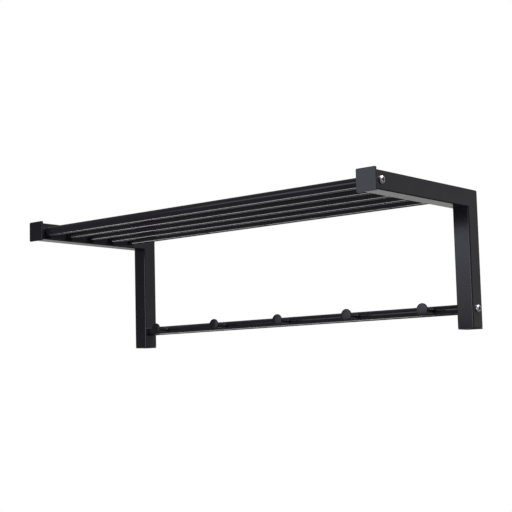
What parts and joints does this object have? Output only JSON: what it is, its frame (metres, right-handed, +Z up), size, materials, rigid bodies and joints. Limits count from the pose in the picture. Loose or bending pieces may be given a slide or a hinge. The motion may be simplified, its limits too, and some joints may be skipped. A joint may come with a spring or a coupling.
{
  "type": "wall hat and coat rack",
  "caption": "Wall-mounted hat and coat rack: black square-tube brackets carry a shelf of round tubes and a lower round rail of disc-headed peg hooks.",
  "frame": {"origin": "on the wall plane, midway between the two brackets, level with the top of the arms", "axes": "+X along the tubes to the right of a person who faces the rack, +Y into the wall, +Z up"},
  "size_m": [0.8084, 0.308, 0.2391],
  "materials": {
    "powder_coat": "black powder coat on steel, fine texture, semi-matte",
    "black_nylon": "black moulded nylon, matte",
    "zinc_plate": "bright zinc-plated steel"
  },
  "bodies": {
    "root": {"left_bracket": "powder_coat", "right_bracket": "powder_coat", "left_front_cap": "powder_coat", "right_front_cap": "powder_coat", "left_foot_plug": "black_nylon", "right_foot_plug": "black_nylon", "shelf_tube_1": "powder_coat", "shelf_tube_2": "powder_coat", "shelf_tube_3": "powder_coat", "shelf_tube_4": "powder_coat", "shelf_tube_5": "powder_coat", "front_tube_left_insert": "zinc_plate", "front_tube_right_insert": "zinc_plate", "front_tube_left_screw": "zinc_plate", "front_tube_right_screw": "zinc_plate", "hook_rail": "powder_coat", "hook_rail_left_insert": "zinc_plate", "hook_rail_right_insert": "zinc_plate", "hook_rail_left_screw": "zinc_plate", "hook_rail_right_screw": "zinc_plate", "hook_1": "powder_coat", "hook_2": "powder_coat", "hook_3": "powder_coat", "hook_4": "powder_coat", "hook_5": "powder_coat", "hook_1_screw": "zinc_plate", "hook_2_screw": "zinc_plate", "hook_3_screw": "zinc_plate", "hook_4_screw": "zinc_plate", "hook_5_screw": "zinc_plate"}
  },
  "joints": []
}
